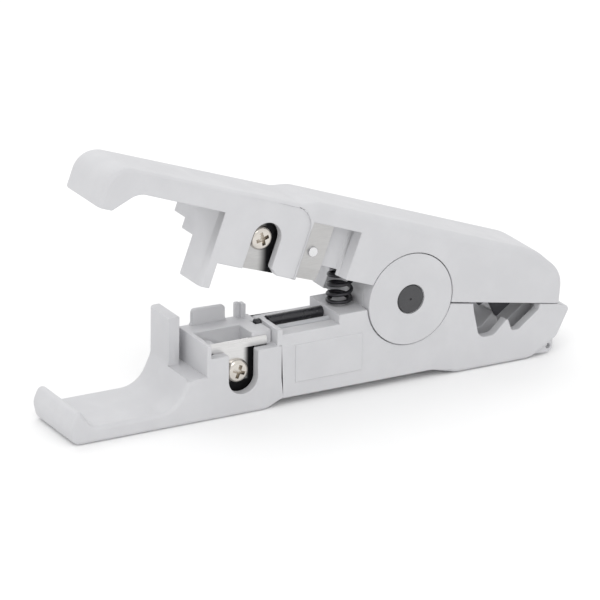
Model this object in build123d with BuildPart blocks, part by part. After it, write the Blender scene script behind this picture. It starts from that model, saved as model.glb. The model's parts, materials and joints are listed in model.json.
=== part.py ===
"""Hand-held cable cutter and stripper: two moulded arms on one sprung pivot.

Everything is in millimetres. +X runs from the finger end to the jaw tip, +Y from the
front face to the back, +Z up. The origin is under the middle of the tool, on the surface
it lies on. The tool rests with its finger ends spread and its jaws shut.
"""
from build123d import *
import math
import os

# Whole tool
WIDTH = 19.4
FRONT_Y = -WIDTH / 2
PIVOT_X = 21.14
PIVOT_Z = 19.8
OPEN_ANGLE = 20.0
JAW_SLOPE = math.tan(math.radians(OPEN_ANGLE / 2))
BASE = -PIVOT_Z

# Hinge stack, front to back
DISC_R = 10.6
DISC_T = 3.2
DISC_GAP = 0.18
HUB_SPLIT = 9.7
HUB_GAP = 0.15
SWEEP_GAP = 0.3
PIN_R = 3.3
PIN_GAP = 0.06
PIN_SEAT = 0.02

# Arm walls
WALL = 2.4
WAIST_STEP = 0.4
LEDGE_Z = -9.6
DECK_Z = -5.4
BOX_LEFT = -50.9
BOX_TOP = -2.3
BOX_DEPTH = 14.0
BLOCK_TOP = -0.8
BAY_FLOOR = -3.0
DIVIDER_TOP = -1.7
LEG_DEPTH = 9.4
LEG_LEFT = -53.9
LEG_RIGHT = -51.1
FRONT_CROWN = 1.8
REAR_CROWN = 5.0
LEDGE_DEPTH = 9.8
LEG_CORNER_R = 2.0
UNDERSIDE_Z = 10.1

# Blades and their fasteners
BLADE_T = 0.8
BLADE_BACK = WALL + BLADE_T
SCREW_HEAD_R = 2.75
SCREW_HEAD_H = 1.5
SCREW_R = 1.5
SCREW_LENGTH = 5.6
INSERT_R = 2.4
INSERT_L = 5.0
LOWER_SCREW = (-42.6, -10.0)
UPPER_SCREW = (-41.65, 6.0)
LOWER_SLOT = (-41.95, -11.35)
UPPER_SLOT = (-41.0, 6.4)
U_SLOT_R = 3.6
BLADE_PIN = (-27.4, 5.4)
BLADE_PIN_R = 1.2

# Return spring
SPRING_X = -14.3
SPRING_DEPTH = 7.1
SPRING_R = 2.6
WIRE_R = 0.45
SPRING_PITCH = 2.3
SPRING_TURNS = 4.0
SPRING_SEAT = 5.0
WINDOW_DEPTH = 3.4

# Rods in the flat-cable bay
BAY_LEFT = -31.7
BAY_RIGHT = -17.9
ROLLER_R = 1.25
ROLLER_AXIS = (8.6, -2.55)
JOURNAL_R = 0.6
JOURNAL_GAP = 0.1
ROD_R = 0.8
ROD_AXIS = (5.3, -3.35)

# Round-cable cutter in the jaws
CUTTER_DEPTH = 4.6
CUTTER_T = 0.6
CUTTER_PINS = ((18.0, 7.0), (28.0, 9.0))
CUTTER_PIN_R = 0.9
CUTTER_PIN_DEPTH = 1.5
CUTTER_PIN_L = 6.4

# Lanyard eye
EYE = (36.9, -17.9)


def lower_plane(depth):
    """A plane facing forwards through the lower arm, with its origin on the pivot axis."""
    return Plane(origin=(PIVOT_X, FRONT_Y + depth, PIVOT_Z), x_dir=(1, 0, 0), z_dir=(0, -1, 0))


def upper_plane(depth):
    """The same plane for the upper arm, which stands open by OPEN_ANGLE about the pivot."""
    angle = math.radians(OPEN_ANGLE)
    along = (math.cos(angle), 0, -math.sin(angle))
    return Plane(origin=(PIVOT_X, FRONT_Y + depth, PIVOT_Z), x_dir=along, z_dir=(0, -1, 0))


def upper_plan(height):
    """A plan view of the upper arm, drawn as (x, depth) at a height above the pivot axis."""
    angle = math.radians(OPEN_ANGLE)
    along = Vector(math.cos(angle), 0, -math.sin(angle))
    up = Vector(math.sin(angle), 0, math.cos(angle))
    return Plane(origin=Vector(PIVOT_X, FRONT_Y, PIVOT_Z) + up * height, x_dir=along, z_dir=up)


def slab(plane, corners, thickness, mode=Mode.ADD):
    """Extrude an outline of (x, z, corner radius) points back from a plane."""
    points = [(x, z) for x, z, radius in corners]
    radii = [radius for x, z, radius in corners]
    with BuildSketch(plane) as profile:
        with BuildLine():
            FilletPolyline(*points, radius=radii, close=True)
        make_face()
    extrude(profile.sketch, amount=-thickness, mode=mode)


def block(plane, low, high, thickness, mode=Mode.ADD):
    """A square-cornered slab between two opposite corners."""
    corners = [(low[0], low[1], 0), (high[0], low[1], 0), (high[0], high[1], 0), (low[0], high[1], 0)]
    slab(plane, corners, thickness, mode)


def disc(plane, centre, radius, thickness, mode=Mode.ADD):
    """A round slab or bore whose axis runs front to back."""
    with BuildSketch(plane) as profile:
        with Locations(centre):
            Circle(radius)
    extrude(profile.sketch, amount=-thickness, mode=mode)


def rod(depth, height, radius, left, right, mode=Mode.ADD):
    """A round bar or trough along X in the lower arm."""
    centre = (FRONT_Y + depth, PIVOT_Z + height)
    with BuildSketch(Plane.YZ.offset(PIVOT_X + left)) as profile:
        with Locations(centre):
            Circle(radius)
    extrude(profile.sketch, amount=right - left, mode=mode)


def screw_slot(plane, centre, mouth, mode=Mode.SUBTRACT):
    """The U-shaped opening in a front wall that leaves a screw head clear."""
    x, z = centre
    low, high = min(z, mouth), max(z, mouth)
    disc(plane, centre, U_SLOT_R, WALL, mode)
    block(plane, (x - U_SLOT_R, low), (x + U_SLOT_R, high), WALL, mode)


# ---------------------------------------------------------------- lower arm
JAW_END = (39.4, BLOCK_TOP - 0.1 - 39.4 * JAW_SLOPE)
LOWER_ENVELOPE = [
    (-83.2, BASE, 2.2), (-84.2, -15.4, 3.5), (-82.2, -11.0, 1.1), (-78.9, -16.1, 3.5),
    (-58.6, -16.1, 6.5), (-55.4, -9.2, 4.0), (-55.4, 6, 0), (39.4, 6, 0),
    (JAW_END[0], JAW_END[1], 0), (42.0, -9.1, 0.8), (38.7, -15.6, 2.0), (32.0, -19.7, 6.0),
    (12.6, -19.7, 5.0), (6.2, -18.1, 5.0), (-32.4, -18.1, 4.0), (-36.0, BASE, 4.0),
]
NOTCHES = [
    (15.6, 2, 0), (16.4, -5.3, 0.8), (18.0, -12.3, 2.0), (21.8, -12.3, 2.4), (25.4, -8.8, 0.5),
    (26.5, -12.0, 0.8), (28.3, -12.0, 0.9), (33.4, -8.2, 0.6), (36.5, 2, 0),
]

with BuildPart() as lower_arm:
    slab(lower_plane(0), LOWER_ENVELOPE, WIDTH)
    rims = lower_arm.faces().sort_by(Axis.Y)
    fillet(rims[0].edges(), radius=1.0)
    fillet(lower_arm.faces().sort_by(Axis.Y)[-1].edges(), radius=1.6)

    # Waist: the front face steps back between the finger end and the jaw
    with BuildSketch(Plane.XY) as waist:
        with BuildLine():
            Polyline(
                (PIVOT_X - 35.5, FRONT_Y - 1), (PIVOT_X - 35.5, FRONT_Y),
                (PIVOT_X - 32.3, FRONT_Y + WAIST_STEP), (PIVOT_X + 5.5, FRONT_Y + WAIST_STEP),
                (PIVOT_X + 12.5, FRONT_Y), (PIVOT_X + 12.5, FRONT_Y - 1), close=True,
            )
        make_face()
    extrude(waist.sketch, amount=PIVOT_Z + 10, mode=Mode.SUBTRACT)

    # Parting surfaces on top, left to right
    block(lower_plane(-1), (-55.5, LEDGE_Z), (BOX_LEFT, 8), LEDGE_DEPTH + 1, Mode.SUBTRACT)
    block(lower_plane(LEDGE_DEPTH), (-56, 1.6), (-50, 8), WIDTH, Mode.SUBTRACT)
    block(lower_plane(LEDGE_DEPTH), (-52.6, LEDGE_Z), (BOX_LEFT, 8), WIDTH, Mode.SUBTRACT)
    block(lower_plane(-1), (BOX_LEFT, DECK_Z), (0, 8), WIDTH + 2, Mode.SUBTRACT)
    slab(lower_plane(-1), [(-1, BLOCK_TOP - 0.1, 0), (45, BLOCK_TOP - 0.1 - 45 * JAW_SLOPE, 0),
                           (45, 8, 0), (-1, 8, 0)], WIDTH + 2, Mode.SUBTRACT)

    # Box behind the blade, with its locating tab and corner post
    block(lower_plane(0), (BOX_LEFT, LEDGE_Z), (-49.9, BOX_TOP), BOX_DEPTH)
    block(lower_plane(BLADE_BACK), (BOX_LEFT, DECK_Z - 1), (-33.5, BOX_TOP), BOX_DEPTH - BLADE_BACK)
    block(lower_plane(BLADE_BACK), (-49.7, -7.2), (-38.3, 2), 8.9 - BLADE_BACK, Mode.SUBTRACT)
    slab(lower_plane(12.9), [(-48.9, BOX_TOP - 1, 0), (-47.9, BOX_TOP + 0.6, 0.8), (-47.9, 1.4, 0.9),
                             (-39.7, 1.2, 0.9), (-39.7, BOX_TOP + 0.6, 0.8),
                             (-38.7, BOX_TOP - 1, 0)], BOX_DEPTH - 12.9)
    slab(lower_plane(12.9), [(-37.2, BOX_TOP - 1, 0), (-37.2, 1.1, 0.3), (-36.0, 1.1, 0.3),
                             (-36.0, BOX_TOP - 1, 0)], BOX_DEPTH - 12.9)
    slab(lower_plane(12.2), [(-36.0, BOX_TOP - 1, 0), (-36.0, 0.9, 0.3), (-34.9, 0.9, 0.3),
                             (-34.9, BOX_TOP - 1, 0)], BOX_DEPTH - 12.2)
    disc(lower_plane(5.6), (-47.2, -6.4), 2.2, 3.3)

    # Divider between the box and the flat-cable bay
    with BuildSketch(Plane.XY.offset(PIVOT_Z + DECK_Z - 1)) as divider:
        with Locations((PIVOT_X - 32.7, FRONT_Y + (WAIST_STEP + 9.4) / 2)):
            Rectangle(1.3, 9.4 - WAIST_STEP)
        with Locations((PIVOT_X - 32.7, FRONT_Y + 9.4)):
            Circle(0.65)

    # Flat-cable bay, with troughs for its two rods
    slab(lower_plane(WAIST_STEP), [(-34.2, DECK_Z - 1, 0), (-34.2, DECK_Z, 0), (-33.1, DECK_Z, 0.9),
                                   (-32.4, BAY_FLOOR, 0.5), (BAY_RIGHT, BAY_FLOOR, 0),
                                   (BAY_RIGHT, DECK_Z - 1, 0)], 14 - WAIST_STEP)
    block(lower_plane(4.2), (BAY_LEFT, -4.8), (BAY_RIGHT, 0), 2.3, Mode.SUBTRACT)
    block(lower_plane(6.5), (BAY_LEFT, -3.9), (BAY_RIGHT, 0), 3.6, Mode.SUBTRACT)
    extrude(divider.sketch, amount=DIVIDER_TOP - DECK_Z + 1)
    rod(ROLLER_AXIS[0], ROLLER_AXIS[1], JOURNAL_R + JOURNAL_GAP, -35.0, BAY_LEFT, Mode.SUBTRACT)
    block(lower_plane(ROLLER_AXIS[0] - 1.1), (-35.0, -3.9), (-33.4, 0), 2.2, Mode.SUBTRACT)

    # Spring block
    block(lower_plane(WAIST_STEP), (BAY_RIGHT, DECK_Z - 1), (0, BLOCK_TOP), 14 - WAIST_STEP)
    disc(lower_plane(0), (0, 0), DISC_R + DISC_GAP, DISC_T, Mode.SUBTRACT)
    disc(lower_plane(HUB_SPLIT), (0, 0), DISC_R + SWEEP_GAP, WIDTH, Mode.SUBTRACT)
    disc(lower_plane(DISC_T), (0, 0), DISC_R, HUB_SPLIT - HUB_GAP / 2 - DISC_T)
    disc(lower_plane(0), (0, 0), PIN_R + PIN_SEAT, WIDTH, Mode.SUBTRACT)
    with Locations((PIVOT_X + SPRING_X, FRONT_Y + SPRING_DEPTH, PIVOT_Z + BLOCK_TOP)):
        Cylinder(radius=1.6, height=1.2, align=(Align.CENTER, Align.CENTER, Align.MIN))

    # Front wall: screw opening and the slot that the blade slides in
    screw_slot(lower_plane(0), LOWER_SLOT, DECK_Z + 1)
    block(lower_plane(WALL), (-49.85, -15.8), (-34.85, 0), BLADE_T, Mode.SUBTRACT)
    disc(lower_plane(BLADE_BACK), LOWER_SCREW, INSERT_R, INSERT_L, Mode.SUBTRACT)

    # Raised label field, left blank
    block(lower_plane(WAIST_STEP - 0.22), (-28.9, -14.7), (-12.0, -5.9), 1.0)

    # Jaw: notches for round cable and the slot that clears the cutter
    slab(lower_plane(-1), NOTCHES, WIDTH + 2, Mode.SUBTRACT)
    block(lower_plane(2.5), (13.0, -14.0), (35.0, 2), 3.3, Mode.SUBTRACT)

    # Lanyard eye under the tip
    slab(lower_plane(1.0), [(33.5, -15.0, 0), (33.5, -19.3, 0.5), (38.1, -19.3, 1.4), (38.1, -15.0, 0)], 1.6)
    disc(lower_plane(0), EYE, 0.6, 4, Mode.SUBTRACT)
lower_arm.part.label = "lower_arm"

# ---------------------------------------------------------------- upper arm
UPPER_ENVELOPE = [
    (-84.0, 5.2, 0), (-84.0, 14.9, 5.6), (-34.6, 15.4, 6.0), (-30.4, 16.6, 6.0),
    (29.0, 16.7, 11.0), (37.8, 13.2, 6.5), (39.9, 5.6, 0), (39.9, -12, 0), (LEG_LEFT, -12, 0),
    (LEG_LEFT, UNDERSIDE_Z, 0), (-75.6, UNDERSIDE_Z, 5.0), (-80.6, 5.2, 0),
]
with BuildPart() as upper_arm:
    slab(upper_plane(0), UPPER_ENVELOPE, WIDTH)
    for side, crown in ((0, FRONT_CROWN), (-1, REAR_CROWN)):
        rim = upper_arm.faces().sort_by(Axis.Y)[side].edges()
        places = {edge: upper_plane(0).to_local_coords(edge.center()) for edge in rim}
        crowned = [edge for edge in rim if places[edge].Y > UNDERSIDE_Z + 0.4 or places[edge].X < -83.5]
        fillet(crowned, radius=crown)

    # The leg's front corner is rounded in plan
    with BuildSketch(upper_plan(-13)) as corner:
        with Locations((LEG_LEFT + LEG_CORNER_R / 2, LEG_CORNER_R / 2)):
            Rectangle(LEG_CORNER_R, LEG_CORNER_R)
        with Locations((LEG_LEFT + LEG_CORNER_R, LEG_CORNER_R)):
            Circle(LEG_CORNER_R, mode=Mode.SUBTRACT)
    extrude(corner.sketch, amount=13 + UNDERSIDE_Z, mode=Mode.SUBTRACT)

    # The finger end is set back a little from the middle of the arm
    slab(upper_plane(-1), [(-90, -12, 0), (-31.2, -12, 0), (-31.2, 14.5, 4.5), (-44.0, 14.7, 2.0),
                           (-47.5, 20, 0), (-90, 20, 0)], 1.4, Mode.SUBTRACT)

    # Undersides, from the leg to the hinge, then the jaw face
    block(upper_plane(-1), (-56, -13), (0, -7.0), WIDTH + 2, Mode.SUBTRACT)
    block(upper_plane(-1), (LEG_RIGHT, -8), (0, -1.2), LEG_DEPTH + 1, Mode.SUBTRACT)
    block(upper_plane(LEG_DEPTH), (-56, -8), (0, 2.0), 5.0, Mode.SUBTRACT)
    block(upper_plane(LEG_DEPTH + 5), (-56, -8), (-13.5, 4.4), WIDTH, Mode.SUBTRACT)
    block(upper_plane(LEG_DEPTH + 5), (-14, -8), (0, -4.6), WIDTH, Mode.SUBTRACT)
    block(upper_plane(-1), (-19.7, -8), (0, 1.2), LEG_DEPTH + 1, Mode.SUBTRACT)
    slab(upper_plane(-1), [(-1, BLOCK_TOP, 0), (45, BLOCK_TOP + 45 * JAW_SLOPE, 0), (45, -13, 0),
                           (-1, -13, 0)], WIDTH + 2, Mode.SUBTRACT)

    # Window over the flat-cable bay, with a sloping right wall
    block(upper_plane(-1), (-30.8, -8), (-18.9, 12.2), WALL + 1, Mode.SUBTRACT)
    with BuildSketch(upper_plan(-8)) as window:
        with BuildLine():
            Polyline((-23.9, -1), (-17.8, -1), (-18.1, 0), (-19.5, WINDOW_DEPTH), (-23.9, WINDOW_DEPTH),
                     close=True)
        make_face()
    extrude(window.sketch, amount=20.2, mode=Mode.SUBTRACT)
    block(upper_plane(BLADE_BACK), (-30.8, -8), (-18, 2.4), LEG_DEPTH + 5 - BLADE_BACK, Mode.SUBTRACT)

    # Hollow that the spring stands in
    block(upper_plane(SPRING_DEPTH - 3.2), (-20.0, -8), (-9, SPRING_SEAT), 6.4, Mode.SUBTRACT)

    # Slot for the blade, the opening over its screw, and the post's sloping foot
    block(upper_plane(WALL), (-49.8, -8), (-23.9, 12.6), BLADE_T, Mode.SUBTRACT)
    screw_slot(upper_plane(0), UPPER_SLOT, -8)
    slab(upper_plane(-1), [(-37.6, -3, 0), (-37.6, 0.4, 0), (-35.6, -1.2, 0), (-35.6, -3, 0)], WALL + 1,
         Mode.SUBTRACT)
    disc(upper_plane(BLADE_BACK), UPPER_SCREW, INSERT_R, INSERT_L, Mode.SUBTRACT)
    disc(upper_plane(BLADE_BACK), BLADE_PIN, BLADE_PIN_R, 5.0, Mode.SUBTRACT)

    # Hinge
    disc(upper_plane(0), (0, 0), DISC_R + DISC_GAP, DISC_T, Mode.SUBTRACT)
    disc(upper_plane(DISC_T), (0, 0), DISC_R + SWEEP_GAP, HUB_SPLIT - DISC_T, Mode.SUBTRACT)
    disc(upper_plane(WIDTH - DISC_T), (0, 0), DISC_R + DISC_GAP, DISC_T + 1, Mode.SUBTRACT)
    disc(upper_plane(HUB_SPLIT + HUB_GAP / 2), (0, 0), DISC_R, WIDTH - DISC_T - HUB_SPLIT - HUB_GAP)
    disc(upper_plane(0), (0, 0), PIN_R + PIN_GAP, WIDTH, Mode.SUBTRACT)

    # Seat for the cutter in the jaw
    block(upper_plane(2.5), (14.0, -3), (33.0, 11.0), 4.5, Mode.SUBTRACT)
    for pin_centre in CUTTER_PINS:
        disc(upper_plane(CUTTER_PIN_DEPTH), pin_centre, CUTTER_PIN_R, CUTTER_PIN_L, Mode.SUBTRACT)
upper_arm.part.label = "upper_arm"


# ---------------------------------------------------------------- hinge pieces
def hinge_disc(depth, outer_depth):
    """A round cover, flush with one side of the tool and pierced for the pin."""
    with BuildPart() as cover:
        disc(lower_plane(depth), (0, 0), DISC_R, DISC_T - HUB_GAP / 2)
        chamfer(cover.edges().filter_by(GeomType.CIRCLE).group_by(Axis.Y)[outer_depth], length=0.15)
        disc(lower_plane(depth), (0, 0), PIN_R + 0.15, 0.5, Mode.SUBTRACT)
        disc(lower_plane(depth), (0, 0), PIN_R + PIN_SEAT, WIDTH, Mode.SUBTRACT)
    return cover


front_disc = hinge_disc(0, 0)
front_disc.part.label = "front_pivot_disc"
rear_disc = hinge_disc(WIDTH - DISC_T + HUB_GAP / 2, -1)
rear_disc.part.label = "rear_pivot_disc"

with BuildPart() as pivot_pin:
    disc(lower_plane(0.1), (0, 0), PIN_R, WIDTH - 0.2)
    chamfer(pivot_pin.edges().filter_by(GeomType.CIRCLE), length=0.25)
    disc(lower_plane(0), (0, 0), 0.25, 0.4, Mode.SUBTRACT)
pivot_pin.part.label = "pivot_pin"

# ---------------------------------------------------------------- return spring
SPRING_BASE = (PIVOT_X + SPRING_X, FRONT_Y + SPRING_DEPTH, PIVOT_Z + BLOCK_TOP + WIRE_R)
with BuildPart() as return_spring:
    with BuildLine(Plane(origin=SPRING_BASE)) as coil:
        Helix(pitch=SPRING_PITCH, height=SPRING_PITCH * SPRING_TURNS, radius=SPRING_R)
    with BuildSketch(Plane(origin=coil.line @ 0, z_dir=coil.line % 0)):
        Circle(WIRE_R)
    sweep(path=coil.line, is_frenet=True)
return_spring.part.label = "return_spring"

# ---------------------------------------------------------------- blades
with BuildPart() as lower_blade:
    slab(lower_plane(WALL), [(-48.2, -15.6, 0.6), (-38.0, -15.6, 0.6), (-38.0, -5.2, 0), (-34.9, -5.2, 0),
                             (-34.9, -3.3, 0), (-49.8, -3.3, 0), (-49.8, -5.2, 0), (-48.2, -5.2, 0)],
         BLADE_T)
    ground_edge = lower_blade.edges().group_by(Axis.Z)[-1].sort_by(Axis.Y)[0]
    front_side = lower_blade.faces().sort_by(Axis.Y)[0]
    chamfer(ground_edge, length=0.6, length2=0.5, reference=front_side)
    disc(lower_plane(0), LOWER_SCREW, SCREW_R + 0.15, WIDTH, Mode.SUBTRACT)
lower_blade.part.label = "lower_blade"

with BuildPart() as upper_blade:
    slab(upper_plane(WALL), [(-49.6, -1.6, 0), (-24.0, -1.0, 0), (-24.0, 12.4, 0.5), (-49.6, 12.4, 0.5)],
         BLADE_T)
    front_side = upper_blade.faces().sort_by(Axis.Y)[0]
    ground_edge = min(front_side.edges(), key=lambda edge: upper_plane(0).to_local_coords(edge.center()).Y)
    chamfer(ground_edge, length=2.7, length2=0.5, reference=front_side)

    disc(upper_plane(0), UPPER_SCREW, SCREW_R + 0.15, WIDTH, Mode.SUBTRACT)
    disc(upper_plane(0), BLADE_PIN, BLADE_PIN_R, WIDTH, Mode.SUBTRACT)
upper_blade.part.label = "upper_blade"

with BuildPart() as upper_blade_pin:
    disc(upper_plane(WALL - 0.6), BLADE_PIN, BLADE_PIN_R, 6.2)
    fillet(upper_blade_pin.edges().group_by(Axis.Y)[0], radius=0.3)
upper_blade_pin.part.label = "upper_blade_pin"


def pan_screw(plane_at, centre):
    """A cross-recessed pan-head screw whose head bears on a blade."""
    with BuildPart() as screw:
        disc(plane_at(WALL - SCREW_HEAD_H), centre, SCREW_HEAD_R, SCREW_HEAD_H)
        fillet(screw.edges().filter_by(GeomType.CIRCLE).group_by(Axis.Y)[0], radius=0.75)
        disc(plane_at(WALL), centre, SCREW_R, SCREW_LENGTH)
        x, z = centre
        for reach, half in ((1.45, 0.36), (0.36, 1.45)):
            block(plane_at(0), (x - reach, z - half), (x + reach, z + half), WALL - 0.5, Mode.SUBTRACT)
    return screw


def threaded_insert(plane_at, centre):
    """The knurled brass insert that a blade screw bites in."""
    with BuildPart() as insert:
        disc(plane_at(BLADE_BACK), centre, INSERT_R, INSERT_L)
        disc(plane_at(BLADE_BACK), centre, SCREW_R, INSERT_L, Mode.SUBTRACT)
    return insert


lower_screw = pan_screw(lower_plane, LOWER_SCREW)
lower_screw.part.label = "lower_blade_screw"
upper_screw = pan_screw(upper_plane, UPPER_SCREW)
upper_screw.part.label = "upper_blade_screw"
lower_insert = threaded_insert(lower_plane, LOWER_SCREW)
lower_insert.part.label = "lower_blade_insert"
upper_insert = threaded_insert(upper_plane, UPPER_SCREW)
upper_insert.part.label = "upper_blade_insert"

# ---------------------------------------------------------------- bay rods
with BuildPart() as guide_roller:
    rod(ROLLER_AXIS[0], ROLLER_AXIS[1], ROLLER_R, BAY_LEFT + 0.05, BAY_RIGHT - 0.05)
    rod(ROLLER_AXIS[0], ROLLER_AXIS[1], JOURNAL_R, -34.6, BAY_LEFT + 0.05)
    rod(ROLLER_AXIS[0], ROLLER_AXIS[1], 0.95, -34.6, -33.5)
guide_roller.part.label = "guide_roller"

with BuildPart() as guide_rod:
    rod(ROD_AXIS[0], ROD_AXIS[1], ROD_R, BAY_LEFT + 0.05, BAY_RIGHT - 0.05)
guide_rod.part.label = "guide_rod"

# ---------------------------------------------------------------- jaw cutter
with BuildPart() as cutter_blade:
    slab(upper_plane(CUTTER_DEPTH), [(14.2, 10.8, 0.5), (14.2, 3.0, 0), (19.0, 3.2, 0.5), (21.4, 0.8, 0.3),
                                     (23.2, 2.6, 0.4), (26.9, -0.8, 0.3), (30.6, 4.6, 0.5), (32.6, 5.2, 0),
                                     (32.6, 10.8, 0.5)], CUTTER_T)
    for pin_centre in CUTTER_PINS:
        disc(upper_plane(0), pin_centre, CUTTER_PIN_R, WIDTH, Mode.SUBTRACT)
cutter_blade.part.label = "cutter_blade"

with BuildPart() as cutter_pins:
    for pin_centre in CUTTER_PINS:
        disc(upper_plane(CUTTER_PIN_DEPTH), pin_centre, CUTTER_PIN_R, CUTTER_PIN_L)
cutter_pins.part.label = "cutter_pins"

os.makedirs("parts", exist_ok=True)
PIECES = [
    lower_arm, upper_arm, front_disc, rear_disc, pivot_pin, return_spring, lower_blade, lower_screw,
    lower_insert, upper_blade, upper_blade_pin, upper_screw, upper_insert, guide_roller, guide_rod,
    cutter_blade, cutter_pins,
]
for piece in PIECES:
    export_step(piece.part, f"parts/{piece.part.label}.step")
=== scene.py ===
"""Looks for a pocket cable stripper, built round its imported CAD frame.

The two moulded arms, the blades, the screws, the spring and the hinge covers are dressed
or rebuilt here in metres, in the frame's own place. Each sub-assembly is a class that
builds its pieces, finishes them and puts them on their body.
"""

import json
import logging
import math
from dataclasses import dataclass, field
from enum import Enum
from typing import Optional, Sequence

import bmesh
import bpy
from mathutils import Matrix, Vector

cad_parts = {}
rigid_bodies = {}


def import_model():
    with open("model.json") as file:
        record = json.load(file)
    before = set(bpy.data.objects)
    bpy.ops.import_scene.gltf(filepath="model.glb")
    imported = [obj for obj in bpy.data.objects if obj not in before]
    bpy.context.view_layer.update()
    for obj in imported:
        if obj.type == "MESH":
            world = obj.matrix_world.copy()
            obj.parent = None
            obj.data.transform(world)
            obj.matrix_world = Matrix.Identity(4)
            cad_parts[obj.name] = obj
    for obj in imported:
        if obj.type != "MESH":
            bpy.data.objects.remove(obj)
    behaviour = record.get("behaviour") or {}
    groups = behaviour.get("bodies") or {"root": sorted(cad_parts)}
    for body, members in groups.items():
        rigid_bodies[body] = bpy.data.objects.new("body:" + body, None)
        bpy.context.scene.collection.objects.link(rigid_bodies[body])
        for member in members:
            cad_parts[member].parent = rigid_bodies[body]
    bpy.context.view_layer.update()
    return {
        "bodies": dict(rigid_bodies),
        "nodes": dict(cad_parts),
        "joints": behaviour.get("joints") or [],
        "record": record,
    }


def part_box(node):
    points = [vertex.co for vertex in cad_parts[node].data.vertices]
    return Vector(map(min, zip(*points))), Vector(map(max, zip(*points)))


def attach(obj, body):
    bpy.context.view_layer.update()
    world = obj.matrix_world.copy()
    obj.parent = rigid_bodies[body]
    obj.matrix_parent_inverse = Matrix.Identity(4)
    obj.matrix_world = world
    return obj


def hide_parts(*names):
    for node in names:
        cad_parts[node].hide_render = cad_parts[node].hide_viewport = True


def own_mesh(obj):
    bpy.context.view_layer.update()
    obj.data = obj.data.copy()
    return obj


LOG = logging.getLogger("cable_stripper")
MM = 0.001
PER_METRE = 1000.0
Point = tuple[float, float, float]
Colour = tuple[float, float, float]


class Body(Enum):
    """The rigid bodies of the tool."""

    LOWER = "lower_body"
    UPPER = "upper_body"


# ------------------------------------------------------------------ shader tools
class Graph:
    """A node tree that is being wired up."""

    def __init__(self, tree: bpy.types.NodeTree) -> None:
        """Keeps the tree to add nodes to.

        Args:
            tree: the shader or geometry tree.
        """
        self.tree = tree

    def add(self, kind: str, inputs: Optional[dict] = None, **settings: object) -> bpy.types.Node:
        """Adds a node, sets its properties and joins or fills its inputs.

        Args:
            kind: the node's type name.
            inputs: input name or index to a value or an output socket.
            settings: properties of the node itself.

        Returns:
            The new node.
        """
        node = self.tree.nodes.new(kind)
        for name, value in settings.items():
            setattr(node, name, value)
        for key, value in (inputs or {}).items():
            socket = node.inputs[key]
            if isinstance(value, bpy.types.NodeSocket):
                self.tree.links.new(value, socket)
            else:
                socket.default_value = value
        return node

    def link(self, source: bpy.types.NodeSocket, target: bpy.types.NodeSocket) -> None:
        """Joins an output to an input.

        Args:
            source: the output.
            target: the input.
        """
        self.tree.links.new(source, target)

    def maths(self, operation: str, *values: object) -> bpy.types.NodeSocket:
        """Adds a Math node.

        Args:
            operation: the node's operation.
            values: its inputs in order, as numbers or outputs.

        Returns:
            The node's output.
        """
        return self.add("ShaderNodeMath", dict(enumerate(values)), operation=operation).outputs[0]

    def ramp(self, value: bpy.types.NodeSocket, stops: Sequence[tuple[float, float]]) -> bpy.types.NodeSocket:
        """Adds a grey colour ramp.

        Args:
            value: what drives the ramp.
            stops: (position, grey level) pairs, in order.

        Returns:
            The ramp's colour output.
        """
        node = self.add("ShaderNodeValToRGB", {0: value})
        elements = node.color_ramp.elements
        while len(elements) < len(stops):
            elements.new(1.0)
        for element, (place, grey) in zip(elements, stops):
            element.position = place
            element.color = (grey, grey, grey, 1.0)
        return node.outputs[0]

    def blend(self, amount: object, first: object, second: object) -> bpy.types.NodeSocket:
        """Mixes two colours.

        Args:
            amount: how much of the second colour shows.
            first: the colour at 0.
            second: the colour at 1.

        Returns:
            The mixed colour.
        """
        node = self.add("ShaderNodeMix", data_type="RGBA", blend_type="MIX")
        for index, value in ((0, amount), (6, first), (7, second)):
            if isinstance(value, bpy.types.NodeSocket):
                self.tree.links.new(value, node.inputs[index])
            else:
                node.inputs[index].default_value = value
        return node.outputs[2]


def effect_group(name: str, inputs: Sequence[tuple], outputs: Sequence[str]) -> tuple[Graph, dict, dict]:
    """Starts a shader node group with named sockets.

    Args:
        name: the group's name.
        inputs: (name, socket type, default) of each input.
        outputs: the names of its value outputs.

    Returns:
        The group's graph, its input sockets by name, and its output sockets by name.
    """
    tree = bpy.data.node_groups.new(name, "ShaderNodeTree")
    for label, kind, default in inputs:
        socket = tree.interface.new_socket(label, in_out="INPUT", socket_type=kind)
        if default is not None:
            socket.default_value = default
    for label in outputs:
        tree.interface.new_socket(label, in_out="OUTPUT", socket_type="NodeSocketFloat")
    graph = Graph(tree)
    entry = graph.add("NodeGroupInput")
    leave = graph.add("NodeGroupOutput")
    return graph, {s.name: s for s in entry.outputs if s.name}, {s.name: s for s in leave.inputs if s.name}


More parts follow.
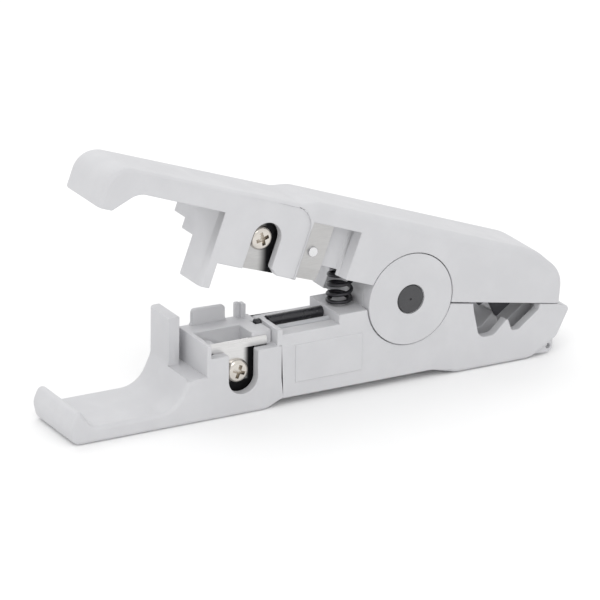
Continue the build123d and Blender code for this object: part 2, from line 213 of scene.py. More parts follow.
@dataclass(frozen=True)
class Effects:
    """The effects that several finishes share, each built once as a node group."""

    grain: bpy.types.NodeTree
    brushing: bpy.types.NodeTree
    handling: bpy.types.NodeTree
    # painted dark reflection and shade for polished faces in recesses
    painted_reflection_group: bpy.types.NodeTree

    @classmethod
    def build(cls) -> "Effects":
        """Builds every group.

        Returns:
            The groups by name.
        """
        return cls(cls._grain(), cls._brushing(), cls._handling(), cls._painted_reflection_group())

    @staticmethod
    def _grain() -> bpy.types.NodeTree:
        """Fine pitted texture of a moulded surface, with slow mottling.

        Returns:
            The group.
        """
        graph, entry, leave = effect_group(
            "surface_grain",
            [("Position", "NodeSocketVector", None), ("Pits per mm", "NodeSocketFloat", 3.0),
             ("Mottle per mm", "NodeSocketFloat", 0.06)],
            ["Pits", "Mottle"],
        )
        millimetres = graph.add("ShaderNodeVectorMath", {0: entry["Position"], 3: PER_METRE},
                                operation="SCALE")
        fine = graph.add("ShaderNodeTexNoise", {
            "Vector": millimetres.outputs[0], "Scale": entry["Pits per mm"], "Detail": 3.0, "Roughness": 0.55})
        cells = graph.add("ShaderNodeTexVoronoi", {
            "Vector": millimetres.outputs[0], "Scale": entry["Pits per mm"]})
        pits = graph.maths("MULTIPLY_ADD", cells.outputs["Distance"], 0.5, fine.outputs[0])
        graph.link(pits, leave["Pits"])
        slow = graph.add("ShaderNodeTexNoise", {
            "Vector": millimetres.outputs[0], "Scale": entry["Mottle per mm"], "Detail": 4.0})
        graph.link(slow.outputs[0], leave["Mottle"])
        return graph.tree

    @staticmethod
    def _brushing() -> bpy.types.NodeTree:
        """Ground or drawn lines that run along one direction of a metal part.

        Returns:
            The group.
        """
        graph, entry, leave = effect_group(
            "brushed_lines",
            [("Position", "NodeSocketVector", None), ("Stretch", "NodeSocketVector", (0.05, 1.0, 1.0)),
             ("Lines per mm", "NodeSocketFloat", 8.0)],
            ["Lines", "Bands"],
        )
        stretched = graph.add("ShaderNodeVectorMath", {0: entry["Position"], 1: entry["Stretch"]},
                              operation="MULTIPLY")
        millimetres = graph.add("ShaderNodeVectorMath", {0: stretched.outputs[0], 3: PER_METRE},
                                operation="SCALE")
        lines = graph.add("ShaderNodeTexNoise", {
            "Vector": millimetres.outputs[0], "Scale": entry["Lines per mm"], "Detail": 2.0})
        graph.link(lines.outputs[0], leave["Lines"])
        bands = graph.add("ShaderNodeTexNoise", {"Vector": millimetres.outputs[0], "Scale": 0.6, "Detail": 3.0})
        graph.link(bands.outputs[0], leave["Bands"])
        return graph.tree

    @staticmethod
    def _handling() -> bpy.types.NodeTree:
        """Faint rubbed patches and hair-thin scratches left by handling.

        Returns:
            The group.
        """
        graph, entry, leave = effect_group(
            "handling_marks",
            [("Position", "NodeSocketVector", None), ("Patches per mm", "NodeSocketFloat", 0.12),
             ("Scratches per mm", "NodeSocketFloat", 0.5)],
            ["Rubbed", "Scratches"],
        )
        millimetres = graph.add("ShaderNodeVectorMath", {0: entry["Position"], 3: PER_METRE},
                                operation="SCALE")
        patches = graph.add("ShaderNodeTexNoise", {
            "Vector": millimetres.outputs[0], "Scale": entry["Patches per mm"], "Detail": 5.0, "Roughness": 0.6})
        graph.link(graph.ramp(patches.outputs[0], [(0.45, 0.0), (0.7, 1.0)]), leave["Rubbed"])
        warp = graph.add("ShaderNodeTexNoise", {"Vector": millimetres.outputs[0], "Scale": 0.15})
        turned = graph.add("ShaderNodeVectorRotate", {
            "Vector": millimetres.outputs[0], "Axis": (0.2, 1.0, 0.1),
            "Angle": graph.maths("MULTIPLY", warp.outputs[0], 2.5)}, rotation_type="AXIS_ANGLE")
        thin = graph.add("ShaderNodeVectorMath", {0: turned.outputs[0], 1: (0.06, 1.0, 3.0)},
                         operation="MULTIPLY")
        scratches = graph.add("ShaderNodeTexNoise", {
            "Vector": thin.outputs[0], "Scale": entry["Scratches per mm"], "Detail": 1.0})
        graph.link(graph.ramp(scratches.outputs[0], [(0.70, 0.0), (0.74, 1.0)]), leave["Scratches"])
        return graph.tree

    @staticmethod
    def _painted_reflection_group() -> bpy.types.NodeTree:
        """Painted dark reflection and shade where a flat polished face sits in a dark recess: past a line
        across, or below a height.

        Returns:
            The group.
        """
        graph, entry, leave = effect_group(
            "painted_reflection_group",
            [("Position", "NodeSocketVector", None), ("Facing", "NodeSocketVector", None),
             ("Across from", "NodeSocketFloat", 0.0), ("Across to", "NodeSocketFloat", 0.001),
             ("Ends at", "NodeSocketFloat", 0.1), ("Down from", "NodeSocketFloat", -0.1),
             ("Down to", "NodeSocketFloat", -0.2),
             ("Below", "NodeSocketFloat", 0.1)],
            ["Darkness"],
        )
        place = graph.add("ShaderNodeSeparateXYZ", {0: entry["Position"]})
        facing = graph.add("ShaderNodeSeparateXYZ", {0: entry["Facing"]})

        def fade(value: object, start: object, end: object) -> bpy.types.NodeSocket:
            """Rises smoothly from 0 to 1.

            Args:
                value: what is faded.
                start: where it is still 0.
                end: where it reaches 1.

            Returns:
                The faded value.
            """
            node = graph.add("ShaderNodeMapRange", {0: value, 1: start, 2: end, 3: 0.0, 4: 1.0},
                             interpolation_type="SMOOTHSTEP")
            return node.outputs[0]

        across = fade(place.outputs["X"], entry["Across from"], entry["Across to"])
        under = graph.maths("LESS_THAN", place.outputs["Z"], entry["Below"])
        inside = graph.maths("MULTIPLY", graph.maths("LESS_THAN", place.outputs["X"], entry["Ends at"]), under)
        down = fade(place.outputs["Z"], entry["Down from"], entry["Down to"])
        flat = fade(facing.outputs["Y"], -0.9, -0.97)
        either = graph.maths("MAXIMUM", graph.maths("MULTIPLY", across, inside), down)
        graph.link(graph.maths("MULTIPLY", either, flat), leave["Darkness"])
        return graph.tree


def new_material(name: str) -> tuple[bpy.types.Material, Graph, bpy.types.Node, bpy.types.NodeSocket]:
    """Starts a material.

    Args:
        name: the material's name.

    Returns:
        The material, its graph, its Principled shader and the Object coordinate output.
    """
    material = bpy.data.materials.new(name)
    material.use_nodes = True
    graph = Graph(material.node_tree)
    shader = material.node_tree.nodes["Principled BSDF"]
    place = graph.add("ShaderNodeTexCoord").outputs["Object"]
    return material, graph, shader, place


def use_effect(graph: Graph, tree: bpy.types.NodeTree, inputs: dict) -> bpy.types.Node:
    """Places an effect group in a material.

    Args:
        graph: the material's graph.
        tree: the effect.
        inputs: its values or sockets by name.

    Returns:
        The group node.
    """
    node = graph.add("ShaderNodeGroup")
    node.node_tree = tree
    for key, value in inputs.items():
        if isinstance(value, bpy.types.NodeSocket):
            graph.link(value, node.inputs[key])
        else:
            node.inputs[key].default_value = value
    return node


# ------------------------------------------------------------------ finishes
@dataclass(frozen=True)
class MouldedPlastic:
    """Injection-moulded plastic with a fine satin texture."""

    name: str
    colour: Colour
    roughness: float = 0.42
    pits_per_mm: float = 3.2
    pit_depth_mm: float = 0.006
    variation: float = 0.035
    rubbing: float = 0.06
    speckle: float = 0.08
    scratching: float = 0.4
    bump_strength: float = 0.6
    rubbed_colour: Colour = (0.9, 0.9, 0.9)

    def build(self, effects: Effects) -> bpy.types.Material:
        """Makes the material.

        Args:
            effects: the shared effect groups.

        Returns:
            The material.
        """
        material, graph, shader, place = new_material(self.name)
        grain = use_effect(graph, effects.grain, {"Position": place, "Pits per mm": self.pits_per_mm})
        marks = use_effect(graph, effects.handling, {"Position": place})
        light = tuple(min(1.0, c * (1 + self.variation)) for c in self.colour) + (1.0,)
        dark = tuple(c * (1 - self.variation) for c in self.colour) + (1.0,)
        tone = graph.blend(grain.outputs["Mottle"], dark, light)
        rubbed = graph.maths("MULTIPLY", marks.outputs["Rubbed"], self.rubbing)
        worn = graph.blend(rubbed, tone, self.rubbed_colour + (1.0,))
        graph.link(worn, shader.inputs["Base Color"])
        rough = graph.maths("MULTIPLY_ADD", marks.outputs["Rubbed"], -self.rubbing, self.roughness)
        speckled = graph.maths("MULTIPLY_ADD", grain.outputs["Pits"], self.speckle, rough)
        graph.link(speckled, shader.inputs["Roughness"])
        height = graph.maths("MULTIPLY_ADD", marks.outputs["Scratches"], -self.scratching,
                             grain.outputs["Pits"])
        bump = graph.add("ShaderNodeBump", {
            "Height": height, "Distance": self.pit_depth_mm * MM, "Strength": self.bump_strength})
        graph.link(bump.outputs[0], shader.inputs["Normal"])
        shader.inputs["IOR"].default_value = 1.5
        shader.inputs["Specular IOR Level"].default_value = 0.42
        return material


@dataclass(frozen=True)
class PaintedDarkReflection:
    """The part of a polished face where the recess's dark reflection and shade are painted into the colour, in
    millimetres along X and Z.
    """

    across_from: float
    across_to: float
    ends_at: float = 100.0
    down_from: float = -100.0
    down_to: float = -200.0
    below: float = 100.0
    # the black that is painted in as the recess's reflection and shade
    colour: Colour = (0.012, 0.012, 0.013)


@dataclass(frozen=True)
class WorkedMetal:
    """Ground, turned or plated metal, which may carry a painted dark reflection and shade of its recess in part.
    """

    name: str
    colour: Colour
    roughness: float
    stretch: Point = (0.05, 1.0, 1.0)
    lines_per_mm: float = 8.0
    line_depth_mm: float = 0.002
    metallic: float = 1.0
    # where the recess's dark reflection and shade are painted in, if anywhere
    painted_dark_reflection: Optional[PaintedDarkReflection] = None
    dullest: float = 0.8
    banding: float = 0.12
    smoothest: float = 0.04
    rubbing: float = 0.08
    scratching: float = 0.8
    scratches_per_mm: float = 0.9
    bump_strength: float = 0.5

    def build(self, effects: Effects) -> bpy.types.Material:
        """Makes the material.

        Args:
            effects: the shared effect groups.

        Returns:
            The material.
        """
        material, graph, shader, place = new_material(self.name)
        lines = use_effect(graph, effects.brushing, {
            "Position": place, "Stretch": self.stretch, "Lines per mm": self.lines_per_mm})
        marks = use_effect(graph, effects.handling, {
            "Position": place, "Scratches per mm": self.scratches_per_mm})
        dull = tuple(c * self.dullest for c in self.colour) + (1.0,)
        tone = graph.blend(lines.outputs["Lines"], dull, self.colour + (1.0,))
        # Paints the recess's dark reflection and shade into the base colour.
        if self.painted_dark_reflection is not None:
            zone = self.painted_dark_reflection
            facing = graph.add("ShaderNodeTexCoord").outputs["Normal"]
            dark = use_effect(graph, effects.painted_reflection_group, {
                "Position": place, "Facing": facing, "Across from": zone.across_from * MM,
                "Across to": zone.across_to * MM, "Ends at": zone.ends_at * MM,
                "Down from": zone.down_from * MM, "Down to": zone.down_to * MM,
                "Below": zone.below * MM})
            tone = graph.blend(dark.outputs["Darkness"], tone, zone.colour + (1.0,))
        graph.link(tone, shader.inputs["Base Color"])
        shader.inputs["Metallic"].default_value = self.metallic
        smooth = self.roughness - self.smoothest
        banded = graph.maths("MULTIPLY_ADD", lines.outputs["Bands"], self.banding, smooth)
        worn = graph.maths("MULTIPLY_ADD", marks.outputs["Rubbed"], self.rubbing, banded)
        graph.link(worn, shader.inputs["Roughness"])
        height = graph.maths("MULTIPLY_ADD", marks.outputs["Scratches"], -self.scratching,
                             lines.outputs["Lines"])
        bump = graph.add("ShaderNodeBump", {
            "Height": height, "Distance": self.line_depth_mm * MM, "Strength": self.bump_strength})
        graph.link(bump.outputs[0], shader.inputs["Normal"])
        return material


# ------------------------------------------------------------------ mesh tools
def finish_mesh(name: str, shape: bmesh.types.BMesh, material: bpy.types.Material,
                smooth_below: float = 35.0) -> bpy.types.Object:
    """Turns a bmesh into a shaded object at the origin.

    Args:
        name: the object's name.
        shape: the shape, which is freed.
        material: its finish.
        smooth_below: edges that turn less than this many degrees shade smooth.

    Returns:
        The object, linked to the scene.
    """
    mesh = bpy.data.meshes.new(name)
    shape.normal_update()
    shape.to_mesh(mesh)
    shape.free()
    for polygon in mesh.polygons:
        polygon.use_smooth = True
    mesh.set_sharp_from_angle(angle=math.radians(smooth_below))
    mesh.materials.append(material)
    piece = bpy.data.objects.new(name, mesh)
    bpy.context.collection.objects.link(piece)
    return piece


def applied(piece: bpy.types.Object) -> bpy.types.Object:
    """Bakes an object's modifiers into its mesh.

    Args:
        piece: the object.

    Returns:
        The same object with a plain mesh.
    """
    depsgraph = bpy.context.evaluated_depsgraph_get()
    mesh = bpy.data.meshes.new_from_object(piece.evaluated_get(depsgraph))
    piece.modifiers.clear()
    piece.data = mesh
    return piece


@dataclass
class SoftenedCopy:
    """A CAD node's shape with its sharp edges rounded the way a tool maker breaks them."""

    node: str
    radius_mm: float = 0.22
    segments: int = 3
    sharp_from: float = 28.0
    flat_within: float = 0.6
    join_within_mm: float = 0.001

    def build(self, frame: dict, material: bpy.types.Material) -> bpy.types.Object:
        """Copies the node, joins its loose triangles and rounds its edges.

        Args:
            frame: the loaded frame.
            material: the finish.

        Returns:
            The new piece, which stands for the node.
        """
        shape = bmesh.new()
        shape.from_mesh(frame["nodes"][self.node].data)
        bmesh.ops.remove_doubles(shape, verts=shape.verts, dist=self.join_within_mm * MM)
        bmesh.ops.dissolve_limit(shape, angle_limit=math.radians(self.flat_within), verts=shape.verts,
                                 edges=shape.edges)
        self._mark_corners(shape)
        piece = finish_mesh(self.node + "_softened", shape, material)
        bevel = piece.modifiers.new("broken_edges", "BEVEL")
        bevel.width = self.radius_mm * MM
        bevel.segments = self.segments
        bevel.limit_method = "WEIGHT"
        bevel.use_clamp_overlap = False
        bevel.miter_outer = "MITER_ARC"
        bevel.harden_normals = False
        normals = piece.modifiers.new("flat_faces_stay_flat", "WEIGHTED_NORMAL")
        normals.keep_sharp = True
        applied(piece)
        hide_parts(self.node)
        return piece

    def _mark_corners(self, shape: bmesh.types.BMesh) -> None:
        """Weights the outward corners, so that the inward ones stay crisp.

        Args:
            shape: the joined-up copy, changed in place.
        """
        shape.normal_update()
        weight = shape.edges.layers.float.new("bevel_weight_edge")
        for edge in shape.edges:
            if len(edge.link_faces) == 2 and edge.is_convex:
                if edge.calc_face_angle() > math.radians(self.sharp_from):
                    edge[weight] = 1.0


# ------------------------------------------------------------------ studio
@dataclass(frozen=True)
class Softbox:
    """A square area light that faces the tool, in metres and watts."""

    name: str
    place: Point
    size: float
    watts: float

    def build(self, target: Point) -> None:
        """Hangs the light.

        Args:
            target: what it faces.
        """
        light = bpy.data.lights.new(self.name, "AREA")
        light.shape = "SQUARE"
        light.size = self.size
        light.energy = self.watts
        lamp = bpy.data.objects.new(self.name, light)
        lamp.location = self.place
        lamp.rotation_euler = (Vector(target) - Vector(self.place)).to_track_quat("-Z", "Y").to_euler()
        bpy.context.collection.objects.link(lamp)


@dataclass
class Studio:
    """A pale table, soft lights and a long lens from the front left."""

    target: Point
    eye: Point
    roll: float
    lens: float
    sensor: float = 36.0
    clip: tuple[float, float] = (0.05, 20.0)
    table_size: float = 4.0
    sky: float = 1.0
    softboxes: tuple[Softbox, ...] = (
        Softbox("key_softbox", (-0.35, -0.55, 0.75), 0.5, 1.45),
        Softbox("back_softbox", (0.1, 0.6, 0.6), 0.8, 0.9),
    )

    def build(self) -> None:
        """Makes the floor, the lights, the sky and the camera."""
        self._floor()
        self._world()
        for softbox in self.softboxes:
            softbox.build(self.target)
        self._camera()

    def _floor(self) -> None:
        """The white table top that the tool lies on."""
        shape = bmesh.new()
        bmesh.ops.create_grid(shape, x_segments=1, y_segments=1, size=self.table_size)
        material, graph, shader, place = new_material("white_table")
        mottle = graph.add("ShaderNodeTexNoise", {"Vector": place, "Scale": 12.0, "Detail": 3.0})
        graph.link(graph.blend(mottle.outputs[0], (0.93, 0.93, 0.93, 1.0), (0.96, 0.96, 0.96, 1.0)),
                   shader.inputs["Base Color"])
        shader.inputs["Roughness"].default_value = 0.9
        shader.inputs["Specular IOR Level"].default_value = 0.1
        finish_mesh("table_top", shape, material)

    def _world(self) -> None:
        """Even white surroundings."""
        world = bpy.data.worlds.new("white_room")
        world.use_nodes = True
        background = world.node_tree.nodes["Background"]
        background.inputs[0].default_value = (1.0, 1.0, 1.0, 1.0)
        background.inputs[1].default_value = self.sky
        bpy.context.scene.world = world

    def _camera(self) -> None:
        """The camera, level apart from a slight roll."""
        data = bpy.data.cameras.new("long_lens")
        data.lens = self.lens
        data.sensor_width = self.sensor
        data.clip_start, data.clip_end = self.clip
        camera = bpy.data.objects.new("long_lens", data)
        camera.location = self.eye
        aim = (Vector(self.target) - Vector(self.eye)).to_track_quat("-Z", "Y")
        camera.rotation_euler = (aim.to_matrix() @ Matrix.Rotation(self.roll, 3, "Z")).to_euler()
        bpy.context.collection.objects.link(camera)
        bpy.context.scene.camera = camera


# ------------------------------------------------------------------ geometry node tools
def node_tree(name: str, inputs: Sequence[tuple[str, str, object]]) -> tuple[Graph, dict, bpy.types.NodeSocket]:
    """Starts a geometry node tree with named inputs.

    Args:
        name: the tree's name.
        inputs: (name, socket type, default) of each input after the geometry.

    Returns:
        Its graph, its inputs by name, and the geometry output to join.
    """
    tree = bpy.data.node_groups.new(name, "GeometryNodeTree")
    tree.interface.new_socket("Geometry", in_out="INPUT", socket_type="NodeSocketGeometry")
    tree.interface.new_socket("Geometry", in_out="OUTPUT", socket_type="NodeSocketGeometry")
    for label, kind, default in inputs:
        socket = tree.interface.new_socket(label, in_out="INPUT", socket_type=kind)
        if default is not None:
            socket.default_value = default
    graph = Graph(tree)
    entry = graph.add("NodeGroupInput")
    leave = graph.add("NodeGroupOutput")
    return graph, {s.name: s for s in entry.outputs if s.name}, leave.inputs["Geometry"]


def grow(piece: bpy.types.Object, graph: Graph, values: dict[str, object]) -> bpy.types.Object:
    """Runs a geometry node tree on a piece and keeps the result as a plain mesh.

    Args:
        piece: the object that carries the tree.
        graph: the tree.
        values: the tree's inputs by name.

    Returns:
        The piece with its new mesh.
    """
    modifier = piece.modifiers.new(graph.tree.name, "NODES")
    modifier.node_group = graph.tree
    sockets = {item.name: item.identifier for item in graph.tree.interface.items_tree
               if item.item_type == "SOCKET" and item.in_out == "INPUT"}
    for label, value in values.items():
        modifier[sockets[label]] = value
    return applied(piece)


def seed_point(name: str, place: Point) -> bpy.types.Object:
    """Makes a one-vertex mesh for a geometry node tree to work from.

    Args:
        name: the object's name.
        place: where the vertex is.

    Returns:
        The object, linked to the scene.
    """
    mesh = bpy.data.meshes.new(name)
    mesh.from_pydata([place], [], [])
    piece = bpy.data.objects.new(name, mesh)
    bpy.context.collection.objects.link(piece)
    return piece


# ------------------------------------------------------------------ sub-assemblies
@dataclass
class Fastener:
    """A cross-recessed pan-head screw, lathed and then cut by four equal wings."""

    node: str
    body: Body
    clocking_deg: float
    shank_radius_mm: float = 1.5
    head_height_mm: float = 1.5
    crown_mm: float = 1.2
    recess_depth_mm: float = 1.3
    wing_reach_mm: float = 1.95
    wing_width_mm: float = 1.05
    rise_mm: float = 0.12
    crown_steps: int = 8
    steps: int = 64
    sharp_from: float = 32.0

    def build(self, material: bpy.types.Material) -> bpy.types.Object:
        """Makes the screw in its hole.

        Args:
            material: the plating.

        Returns:
            The screw, which stands for its node.
        """
        low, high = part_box(self.node)
        radius = (high.x - low.x) / 2
        centre = Vector(((low.x + high.x) / 2, low.y, (low.z + high.z) / 2))
        piece = finish_mesh(self.node + "_turned", self._lathe(centre, radius, high.y - low.y), material)
        grow(piece, self._recess_tree(material), {
            "Centre": centre, "Reach": self.wing_reach_mm * MM, "Width": self.wing_width_mm * MM,
            "Depth": self.recess_depth_mm * MM, "Clocking": math.radians(self.clocking_deg)})
        piece.data.set_sharp_from_angle(angle=math.radians(self.sharp_from))
        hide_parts(self.node)
        return piece

    def _lathe(self, centre: Vector, radius: float, length: float) -> bmesh.types.BMesh:
        """Turns the head and shank about the screw's axis.

        Args:
            centre: the middle of the head's front.
            radius: the head's radius.
            length: the whole screw's length.

        Returns:
            The closed shape.
        """
        crown, height = self.crown_mm * MM, self.head_height_mm * MM
        rise = self.rise_mm * MM
        profile = [(0.0, 0.0)]
        for step in range(self.crown_steps + 1):
            angle = math.radians(90.0 * step / self.crown_steps)
            profile.append((radius - crown + crown * math.sin(angle), rise + crown * (1 - math.cos(angle))))
        profile += [(radius, height), (self.shank_radius_mm * MM, height), (self.shank_radius_mm * MM, length),
                    (0.0, length)]
        shape = bmesh.new()
        rings = []
        for reach, depth in profile:
            if reach == 0.0:
                rings.append([shape.verts.new(centre + Vector((0, depth, 0)))])
                continue
            ring = []
            for step in range(self.steps):
                angle = 2 * math.pi * step / self.steps
                ring.append(shape.verts.new(centre + Vector((reach * math.cos(angle), depth,
                                                             reach * math.sin(angle)))))
            rings.append(ring)
        for inner, outer in zip(rings, rings[1:]):
            for step in range(self.steps):
                after = (step + 1) % self.steps
                corners = [inner[step % len(inner)], outer[step % len(outer)], outer[after % len(outer)],
                           inner[after % len(inner)]]
                shape.faces.new(list(dict.fromkeys(corners)))
        bmesh.ops.recalc_face_normals(shape, faces=shape.faces)
        return shape

    @staticmethod
    def _recess_tree(material: bpy.types.Material) -> Graph:
        """Cuts the cross recess: one tapered wing, repeated four times round the axis.

        Args:
            material: the finish of the cut faces.

        Returns:
            The tree.
        """
        graph, entry, leave = node_tree("cross_recess", [
            ("Centre", "NodeSocketVector", None), ("Reach", "NodeSocketFloat", 0.0015),
            ("Width", "NodeSocketFloat", 0.0006), ("Depth", "NodeSocketFloat", 0.001),
            ("Clocking", "NodeSocketFloat", 0.0), ("Taper", "NodeSocketFloat", 0.38)])
        size = graph.add("ShaderNodeCombineXYZ", {
            0: entry["Reach"], 1: graph.maths("MULTIPLY", entry["Depth"], 2.0), 2: entry["Width"]})
        wing = graph.add("GeometryNodeMeshCube", {"Size": size.outputs[0]})
        outward = graph.add("ShaderNodeCombineXYZ", {0: graph.maths("MULTIPLY", entry["Reach"], 0.5)})
        moved = graph.add("GeometryNodeTransform", {"Geometry": wing.outputs["Mesh"],
                                                    "Translation": outward.outputs[0]})
        place = graph.add("GeometryNodeInputPosition").outputs[0]
        parts = graph.add("ShaderNodeSeparateXYZ", {0: place})
        floor = graph.maths("GREATER_THAN", parts.outputs["Y"], 0.0)
        shrink = graph.maths("SUBTRACT", 1.0, graph.maths("MULTIPLY", floor, entry["Taper"]))
        tapered = graph.add("ShaderNodeCombineXYZ", {
            0: graph.maths("MULTIPLY", parts.outputs["X"], shrink), 1: parts.outputs["Y"],
            2: graph.maths("MULTIPLY", parts.outputs["Z"], shrink)})
        shaped = graph.add("GeometryNodeSetPosition", {"Geometry": moved.outputs[0],
                                                       "Position": tapered.outputs[0]})
        points = graph.add("GeometryNodePoints", {"Count": 4, "Position": entry["Centre"]})
        index = graph.add("GeometryNodeInputIndex").outputs[0]
        turn = graph.maths("MULTIPLY_ADD", index, math.pi / 2, entry["Clocking"])
        rotation = graph.add("ShaderNodeCombineXYZ", {1: turn})
        wings = graph.add("GeometryNodeInstanceOnPoints", {
            "Points": points.outputs[0], "Instance": shaped.outputs[0], "Rotation": rotation.outputs[0]})
        whole = graph.add("GeometryNodeRealizeInstances", {"Geometry": wings.outputs[0]})
        cut = graph.add("GeometryNodeMeshBoolean", {"Self Intersection": True}, operation="DIFFERENCE",
                        solver="EXACT")
        graph.link(entry["Geometry"], cut.inputs["Mesh 1"])
        graph.link(whole.outputs[0], cut.inputs["Mesh 2"])
        dressed = graph.add("GeometryNodeSetMaterial", {"Geometry": cut.outputs[0], "Material": material})
        graph.link(dressed.outputs[0], leave)
        return graph


@dataclass
class ReturnSpring:
    """The compression spring: open coils between two closed end coils."""

    node: str = "return_spring"
    wire_radius_mm: float = 0.45
    turns: float = 5.3
    closed_share: float = 0.19
    steps_per_turn: int = 40
    wire_sides: int = 14
    lean_mm: float = 0.4

    def build(self, material: bpy.types.Material) -> bpy.types.Object:
        """Winds the spring in the space its node holds.

        Args:
            material: the wire's finish.

        Returns:
            The spring, which stands for its node.
        """
        low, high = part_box(self.node)
        wire = self.wire_radius_mm * MM
        base = Vector(((low.x + high.x) / 2, (low.y + high.y) / 2, low.z + wire))
        piece = seed_point(self.node + "_wound", base)
        grow(piece, self._winding_tree(material), {
            "Base": base, "Coil radius": (high.x - low.x) / 2 - wire, "Wire radius": wire,
            "Height": high.z - low.z - 2 * wire, "Turns": self.turns, "Closed share": self.closed_share,
            "Lean": self.lean_mm * MM, "Steps": int(self.turns * self.steps_per_turn),
            "Wire sides": self.wire_sides})
        for polygon in piece.data.polygons:
            polygon.use_smooth = True
        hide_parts(self.node)
        return piece

    @staticmethod
    def _winding_tree(material: bpy.types.Material) -> Graph:
        """Winds a wire whose rise is slow at both ends and even between them.

        Args:
            material: the wire's finish.

        Returns:
            The tree.
        """
        graph, entry, leave = node_tree("spring_winding", [
            ("Base", "NodeSocketVector", None), ("Coil radius", "NodeSocketFloat", 0.003),
            ("Wire radius", "NodeSocketFloat", 0.0004), ("Height", "NodeSocketFloat", 0.01),
            ("Turns", "NodeSocketFloat", 6.0), ("Closed share", "NodeSocketFloat", 0.12),
            ("Lean", "NodeSocketFloat", 0.0), ("Steps", "NodeSocketInt", 240),
            ("Wire sides", "NodeSocketInt", 12)])
        line = graph.add("GeometryNodeCurvePrimitiveLine", {"End": (0.0, 0.0, 1.0)})
        wire = graph.add("GeometryNodeResampleCurve", {"Curve": line.outputs[0], "Count": entry["Steps"]})
        along = graph.add("GeometryNodeSplineParameter").outputs["Factor"]
        angle = graph.maths("MULTIPLY", graph.maths("MULTIPLY", along, entry["Turns"]), 2 * math.pi)
        rise = graph.add("ShaderNodeMapRange", {
            0: along, 1: entry["Closed share"], 2: graph.maths("SUBTRACT", 1.0, entry["Closed share"]),
            3: 0.0, 4: 1.0})
        closed = graph.maths("MULTIPLY", entry["Wire radius"], 2.0)
        low_coil = graph.add("ShaderNodeMapRange", {
            0: along, 1: 0.0, 2: entry["Closed share"], 3: 0.0, 4: closed})
        top_coil = graph.add("ShaderNodeMapRange", {
            0: along, 1: graph.maths("SUBTRACT", 1.0, entry["Closed share"]), 2: 1.0, 3: 0.0, 4: closed})
        open_height = graph.maths("SUBTRACT", entry["Height"], graph.maths("MULTIPLY", closed, 2.0))
        height = graph.maths("ADD", graph.maths("MULTIPLY", rise.outputs[0], open_height),
                             graph.maths("ADD", low_coil.outputs[0], top_coil.outputs[0]))
        lean = graph.maths("MULTIPLY", graph.maths("DIVIDE", height, entry["Height"]), entry["Lean"])
        across = graph.maths("MULTIPLY_ADD", graph.maths("COSINE", angle), entry["Coil radius"], lean)
        depth = graph.maths("MULTIPLY", graph.maths("SINE", angle), entry["Coil radius"])
        offset = graph.add("ShaderNodeCombineXYZ", {0: across, 1: depth, 2: height})
        place = graph.add("ShaderNodeVectorMath", {0: entry["Base"], 1: offset.outputs[0]}, operation="ADD")
        coil = graph.add("GeometryNodeSetPosition", {"Geometry": wire.outputs[0], "Position": place.outputs[0]})
        section = graph.add("GeometryNodeCurvePrimitiveCircle", {
            "Resolution": entry["Wire sides"], "Radius": entry["Wire radius"]})
        tube = graph.add("GeometryNodeCurveToMesh", {
            "Curve": coil.outputs[0], "Profile Curve": section.outputs["Curve"], "Fill Caps": True})
        whole = graph.add("GeometryNodeRealizeInstances", {"Geometry": tube.outputs[0]})
        dressed = graph.add("GeometryNodeSetMaterial", {"Geometry": whole.outputs[0], "Material": material})
        graph.link(dressed.outputs[0], leave)
        return graph


@dataclass
class Finishes:
    """Every material of the tool, made from the shared effects."""

    effects: Effects
    slots: dict[str, bpy.types.Material] = field(default_factory=dict)

    def build(self) -> None:
        """Makes the material of every finish that a piece uses."""
        recipes = {
            "arm_plastic": MouldedPlastic("arm_plastic", (0.575, 0.576, 0.592)),
            "grey_rod": MouldedPlastic("grey_rod", (0.50, 0.51, 0.53), roughness=0.3, pit_depth_mm=0.003),
            "dark_rod": WorkedMetal("dark_rod", (0.035, 0.035, 0.04), 0.22, metallic=0.0, lines_per_mm=5.0),
            "spring_wire": WorkedMetal("spring_wire", (0.05, 0.05, 0.055), 0.3, metallic=0.8,
                                       stretch=(1.0, 1.0, 1.0)),
            "dark_pin": WorkedMetal("dark_pin", (0.078, 0.078, 0.082), 0.48, metallic=0.35,
                                    stretch=(1.0, 0.2, 1.0), lines_per_mm=3.0),
            "pin_steel": WorkedMetal("pin_steel", (0.80, 0.80, 0.81), 0.2, stretch=(1.0, 0.2, 1.0)),
            "screw_nickel": WorkedMetal("screw_nickel", (0.74, 0.70, 0.645), 0.15, stretch=(1.0, 1.0, 1.0)),
            "insert_brass": WorkedMetal("insert_brass", (0.72, 0.55, 0.26), 0.3),
            "cutter_steel": WorkedMetal("cutter_steel", (0.05, 0.05, 0.055), 0.35),
            # Both blades carry a painted dark reflection and shade of their recess.
            "lower_blade_steel": WorkedMetal(
                "lower_blade_steel", (0.80, 0.795, 0.79), 0.26,
                painted_dark_reflection=PaintedDarkReflection(-19.9, -18.3, down_from=8.2, down_to=7.2, below=14.7)),
            # The upper blade's steel is a darker grey than the lower one's: painted reflection and shade of the
            # window it sits in.
            "upper_blade_steel": WorkedMetal(
                "upper_blade_steel", (0.57, 0.565, 0.56), 0.3,
                painted_dark_reflection=PaintedDarkReflection(-16.6, -14.0, ends_at=-9.5)),
        }
        for slot, recipe in recipes.items():
            self.slots[slot] = recipe.build(self.effects)

    def dress_node(self, frame: dict, node: str, finish: str) -> None:
        """Gives a CAD node's own object a finish.

        Args:
            frame: the loaded frame.
            node: the node.
            finish: the material's key.
        """
        mesh = frame["nodes"][node].data
        mesh.materials.clear()
        mesh.materials.append(self.slots[finish])


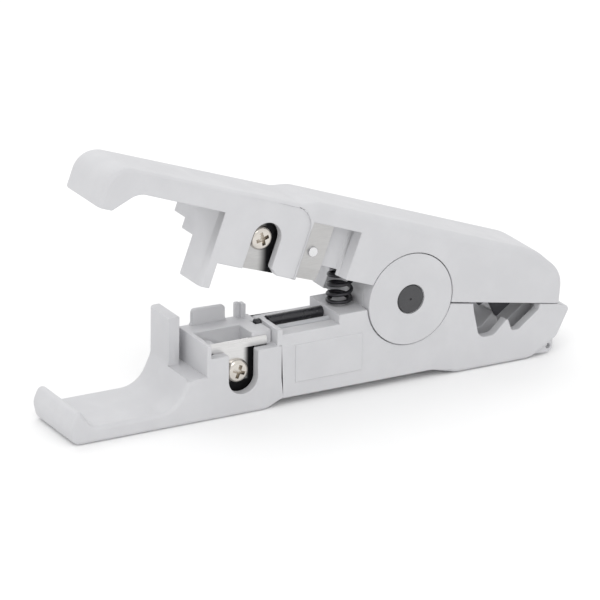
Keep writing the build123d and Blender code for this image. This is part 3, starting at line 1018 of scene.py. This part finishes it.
@dataclass
class MouldedShells:
    """The two arms and the hinge covers, with their edges softened as the mould leaves them."""

    pieces: dict[str, tuple[Body, float]] = field(default_factory=lambda: {
        "lower_arm": (Body.LOWER, 0.22),
        "upper_arm": (Body.UPPER, 0.22),
        "front_pivot_disc": (Body.LOWER, 0.08),
        "rear_pivot_disc": (Body.LOWER, 0.08),
    })

    def build(self, frame: dict, finishes: Finishes) -> None:
        """Builds each shell and puts it on its body.

        Args:
            frame: the loaded frame.
            finishes: the materials.
        """
        for node, (body, radius) in self.pieces.items():
            piece = SoftenedCopy(node, radius_mm=radius).build(frame, finishes.slots["arm_plastic"])
            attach(piece, body.value)
            LOG.info("moulded %s: %d faces", node, len(piece.data.polygons))


@dataclass
class WorkingParts:
    """The blades, fasteners, rods and pins."""

    kept: dict[str, str] = field(default_factory=lambda: {
        "pivot_pin": "dark_pin",
        "lower_blade": "lower_blade_steel",
        "upper_blade": "upper_blade_steel",
        "cutter_blade": "cutter_steel",
        "cutter_pins": "pin_steel",
        "upper_blade_pin": "pin_steel",
        "lower_blade_insert": "insert_brass",
        "upper_blade_insert": "insert_brass",
        "guide_roller": "dark_rod",
        "guide_rod": "grey_rod",
    })
    screws: tuple[Fastener, ...] = (
        Fastener("lower_blade_screw", Body.LOWER, clocking_deg=20.0),
        Fastener("upper_blade_screw", Body.UPPER, clocking_deg=-15.0),
    )
    spring: ReturnSpring = field(default_factory=ReturnSpring)
    spring_keep: float = 0.56

    def build(self, frame: dict, finishes: Finishes) -> None:
        """Dresses the CAD pieces, then makes the screws and the spring.

        Args:
            frame: the loaded frame.
            finishes: the materials.
        """
        for node, finish in self.kept.items():
            finishes.dress_node(frame, node, finish)
        for screw in self.screws:
            piece = screw.build(finishes.slots["screw_nickel"])
            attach(piece, screw.body.value)
            LOG.info("turned %s: %d faces", screw.node, len(piece.data.polygons))
        coil = self.spring.build(finishes.slots["spring_wire"])
        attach(coil, Body.LOWER.value)
        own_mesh(coil)
        LOG.info("wound the spring: %d faces", len(coil.data.polygons))


def main() -> None:
    """Builds the whole picture round the frame."""
    logging.basicConfig(level=logging.INFO, format="%(name)s: %(message)s")
    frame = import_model()
    finishes = Finishes(Effects.build())
    finishes.build()
    MouldedShells().build(frame, finishes)
    WorkingParts().build(frame, finishes)
    Studio(
        target=(-0.0003239, 0.0021831, 0.0193104),
        eye=(-0.5082364, -0.8992164, 0.408209),
        roll=0.01501,
        lens=300.0,
    ).build()
    bpy.context.scene.view_settings.view_transform = "Standard"


if __name__ == "__main__":
    main()
